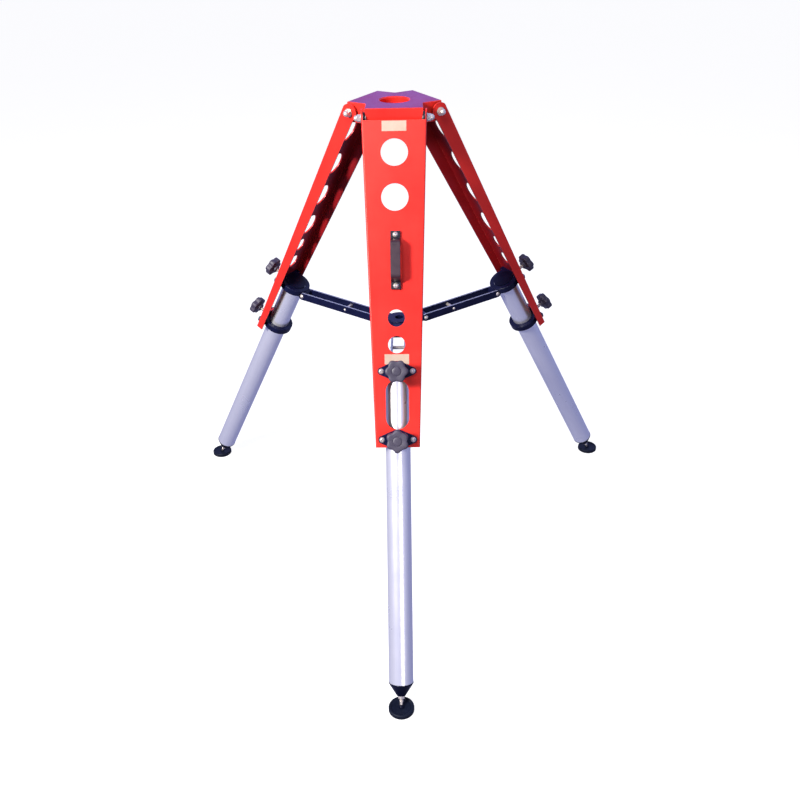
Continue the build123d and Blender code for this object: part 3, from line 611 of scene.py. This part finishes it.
def build_foot(leg):
    """A leg's threaded foot screw, its black ball, the lock nut and the ribbed pad."""
    axes = foot_frame(leg)
    body = f"{leg}_foot_screw"
    top = FOOT_STUD_LENGTH
    rows = [plain(NECK_RADIUS - 0.6, 2.0), plain(NECK_RADIUS, 4.0), plain(NECK_RADIUS, NECK_LENGTH - 1.0)]
    rows += thread_rings(NECK_LENGTH, top, NECK_LENGTH + 1.5, top - STUD_PLAIN_END)
    verts, faces = lathe(rows, ROD_SIDES)
    stud = make_object(f"{leg}_threaded_foot", verts, faces, axes, steel, body, THREAD_ANGLE)
    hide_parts(f"{leg}_foot_stud")
    arc = [-pi / 2 + pi * i / BALL_STEPS for i in range(1, BALL_STEPS)]
    arc = [a for a in arc if BALL_RADIUS * sin(a) < BALL_TOP]
    ball_rows = [plain(BALL_RADIUS * cos(a), BALL_RADIUS * sin(a)) for a in arc]
    ball_rows += [plain(NECK_RADIUS + 0.2, 4.6), plain(NECK_RADIUS + 0.1, 5.4)]
    ball_rows += [plain(NECK_RADIUS - 0.3, BALL_RADIUS)]
    verts, faces = lathe(ball_rows, BALL_SIDES)
    ball = make_object(f"{leg}_foot_ball", verts, faces, axes, plug_plastic, body)
    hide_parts(f"{leg}_foot_stud")
    build_nut(leg, axes)
    build_pad(leg)


def build_nut(leg, axes):
    """A hexagonal nut with chamfered corners below and a round flange against the cone plug."""
    bottom, top = span_along(f"{leg}_lock_nut", axes)
    middle = (bottom + top) / 2
    seat = top - NUT_FLANGE
    corner = NUT_CORNER_START * NUT_FLATS / 2

    def hexagonal(z, sign):
        def ring(angle):
            local = (angle + pi / 6) % (pi / 3) - pi / 6
            reach = NUT_FLATS / 2 / cos(local)
            return reach, z - sign * max(0.0, reach - corner) * NUT_CORNER_SLOPE

        return ring

    bore = STUD_RADIUS + BORE_GAP
    mouth = bore + NUT_BORE_EDGE
    rows = [plain(bore, middle), plain(bore, bottom + NUT_BORE_EDGE), plain(mouth, bottom)]
    rows += [plain(corner, bottom), hexagonal(bottom, -1), hexagonal(seat - 0.3, 0)]
    rows += [plain(NUT_FLANGE_RADIUS - 0.5, seat), plain(NUT_FLANGE_RADIUS, seat + 0.4)]
    rows += [plain(NUT_FLANGE_RADIUS, top - 0.2), plain(NUT_FLANGE_RADIUS - 0.2, top)]
    rows += [plain(mouth, top), plain(bore, top - NUT_BORE_EDGE), plain(bore, middle)]
    verts, faces = lathe(rows, NUT_SIDES)
    faces = faces[:-2]
    nut = make_object(f"{leg}_hex_nut", verts, faces, axes, steel, f"{leg}_lower_leg", NUT_ANGLE)
    weld(nut)
    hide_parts(f"{leg}_lock_nut")


def weld(obj):
    """Joins the first and last ring of a bored piece."""
    bm = bmesh.new()
    bm.from_mesh(obj.data)
    bmesh.ops.remove_doubles(bm, verts=bm.verts, dist=1e-6)
    bm.to_mesh(obj.data)
    bm.free()


def build_pad(leg):
    """A round rubber foot with a ribbed rim, a dished top and a cup for the ball."""
    low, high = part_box(f"{leg}_foot_pad")
    centre = (low + high) / 2
    axes = Matrix.Translation((centre.x, centre.y, low.z))
    radius = (high.x - low.x) / 2 / MM
    height = (high.z - low.z) / MM
    cup = BALL_RADIUS + BORE_GAP
    ball_height = foot_frame(leg).translation.z / MM

    def ribbed(r, z, depth):
        return lambda angle: (r - depth * (0.5 + 0.5 * cos(PAD_RIBS * angle)) ** 2, z)

    rows = [plain(r, 0.0) for r in (6.0, 14.0)] + [plain(radius - 1.5, 0.0), plain(radius, 1.5)]
    rows += [ribbed(radius, 2.2, 0.0), ribbed(radius, 2.8, PAD_RIB_DEPTH)]
    rows += [ribbed(radius, height - 3.4, PAD_RIB_DEPTH), ribbed(radius, height - 2.6, 0.0)]
    rows += [plain(radius - 0.3, height - 1.4), plain(radius - 1.0, height - 0.5)]
    rows += [plain(radius - 2.2, height), plain(radius - 3.6, height), plain(radius - 4.4, height - 0.4)]
    rows += [plain(radius - 6.0, height - 1.9), plain(17.5, height - 2.2), plain(9.4, height - 2.9)]
    rows += [plain(8.6, height - 3.0), plain(cup + 0.9, ball_height)]
    for step in range(CUP_STEPS):
        angle = -pi / 2 * step / CUP_STEPS
        rows.append(plain(cup * cos(angle), ball_height + cup * sin(angle)))
    verts, faces = lathe(rows, PAD_SIDES)
    pad = make_object(f"{leg}_rubber_foot", verts, faces, axes, rubber, f"{leg}_foot")
    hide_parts(f"{leg}_foot_pad")


finish_cad_nodes()
for leg_name in LEGS:
    build_knobs(leg_name)
    build_foot(leg_name)


# ---------------------------------------------------------------- floor, light and camera

CAMERA_PLACE = (0.03624, -1.83107)
CAMERA_RISE = 0.38947  # above the head's top
CAMERA_YAW = radians(-1.2)
CAMERA_PITCH = radians(-31.08)
CAMERA_ROLL = radians(-1.28)
CAMERA_LENS = 39.12
CAMERA_SENSOR = 36.0
FLOOR_HALF = 14.0
FLOOR_GLOW = 0.93
FLOOR_SHADE = (0.16, 0.16, 0.20, 1)
FLOOR_GLOSS = 0.8
ROOM_SHADE = (0.03, 0.03, 0.045, 1)
ROOM_GLOSS = (0.34, 0.36, 0.70, 1)


def build_stage():
    """A pale floor. It shows almost white and throws little light back up."""
    n = Nodes("pale_floor")
    cloud = n.noise(n.position(), 3.0, 3.0)
    colour = n.mix(n.ramp(cloud, 0.3, 0.75), (0.32, 0.32, 0.33), (0.36, 0.36, 0.37))
    n.put(n.shader.inputs["Base Color"], colour)
    n.put(n.shader.inputs["Roughness"], 0.9)
    n.put(n.shader.inputs["Emission Color"], (1, 1, 1, 1))
    n.put(n.shader.inputs["Emission Strength"], FLOOR_GLOW)
    dim = n.add("ShaderNodeBsdfDiffuse", {"Color": FLOOR_SHADE}).outputs["BSDF"]
    glow = n.add("ShaderNodeEmission", {"Color": ROOM_GLOSS, "Strength": FLOOR_GLOSS}).outputs["Emission"]
    path = n.add("ShaderNodeLightPath")
    mirrored = path.outputs["Is Glossy Ray"]
    seen = path.outputs["Is Camera Ray"]
    unseen = n.add("ShaderNodeMixShader", {0: mirrored, 1: dim, 2: glow}).outputs["Shader"]
    lit = n.shader.outputs["BSDF"]
    shown = n.add("ShaderNodeMixShader", {0: seen, 1: unseen, 2: lit}).outputs["Shader"]
    n.put(n.tree.nodes["Material Output"].inputs["Surface"], shown)
    data = bpy.data.meshes.new("floor")
    half = FLOOR_HALF
    corners = [(-half, -half, 0), (half, -half, 0), (half, half, 0), (-half, half, 0)]
    data.from_pydata(corners, [], [(0, 1, 2, 3)])
    floor = bpy.data.objects.new("floor", data)
    bpy.context.collection.objects.link(floor)
    data.materials.append(n.material)


def area_light(name, location, target, size, power, colour):
    """A rectangular soft light that faces a target point."""
    data = bpy.data.lights.new(name, "AREA")
    data.shape = "RECTANGLE"
    data.size, data.size_y = size
    data.energy = power
    data.color = colour
    light = bpy.data.objects.new(name, data)
    light.location = location
    light.rotation_euler = (Vector(target) - Vector(location)).to_track_quat("-Z", "Y").to_euler()
    bpy.context.collection.objects.link(light)


def build_world():
    """White behind the object, a lavender room in reflections, and a dim room for shading."""
    world = bpy.data.worlds.new("studio")
    bpy.context.scene.world = world
    world.use_nodes = True
    tree = world.node_tree
    path = tree.nodes.new("ShaderNodeLightPath")
    room = tree.nodes.new("ShaderNodeMix")
    room.data_type = "RGBA"
    tree.links.new(path.outputs["Is Glossy Ray"], room.inputs["Factor"])
    room.inputs[6].default_value = ROOM_SHADE
    room.inputs[7].default_value = ROOM_GLOSS
    shown = tree.nodes.new("ShaderNodeMix")
    shown.data_type = "RGBA"
    tree.links.new(path.outputs["Is Camera Ray"], shown.inputs["Factor"])
    tree.links.new(room.outputs[2], shown.inputs[6])
    shown.inputs[7].default_value = (1, 1, 1, 1)
    tree.links.new(shown.outputs[2], tree.nodes["Background"].inputs["Color"])


def build_camera():
    """The view of the opened tripod from in front and above."""
    yaw, pitch, roll = CAMERA_YAW, CAMERA_PITCH, CAMERA_ROLL
    forward = Vector((sin(yaw) * cos(pitch), cos(yaw) * cos(pitch), sin(pitch)))
    right = forward.cross(Vector((0, 0, 1))).normalized()
    up = right.cross(forward)
    across = right * cos(roll) + up * sin(roll)
    top = up * cos(roll) - right * sin(roll)
    data = bpy.data.cameras.new("camera")
    data.sensor_width = CAMERA_SENSOR
    data.lens = CAMERA_LENS
    camera = bpy.data.objects.new("camera", data)
    m = Matrix((across, top, -forward)).transposed().to_4x4()
    m.translation = Vector((*CAMERA_PLACE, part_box("head_block")[1].z + CAMERA_RISE))
    camera.matrix_world = m
    bpy.context.collection.objects.link(camera)
    bpy.context.scene.camera = camera


build_stage()
build_world()
build_camera()
area_light("key", (-1.95, -2.00, 2.20), (0, 0, 0.65), (0.6, 0.6), 165, (1.0, 0.97, 0.94))
area_light("high", (-0.55, -1.60, 3.00), (0, 0, 0.65), (0.7, 0.7), 22, (1.0, 0.95, 0.96))
area_light("fill", (0.9, -3.0, 1.0), (0, 0, 0.5), (0.6, 1.6), 16, (1.0, 0.95, 0.90))
area_light("back", (0.0, 3.4, 1.75), (0, 0, 0.9), (4.0, 1.0), 15, (0.22, 0.20, 1.0))
area_light("side", (3.0, 0.4, 1.4), (0, 0, 0.6), (1.0, 2.0), 16, (0.40, 0.52, 1.0))
area_light("sky", (0.8, 1.2, 3.0), (0, 0.3, 0.4), (2.5, 2.5), 16, (0.45, 0.58, 1.0))
bpy.context.scene.view_settings.view_transform = "Standard"
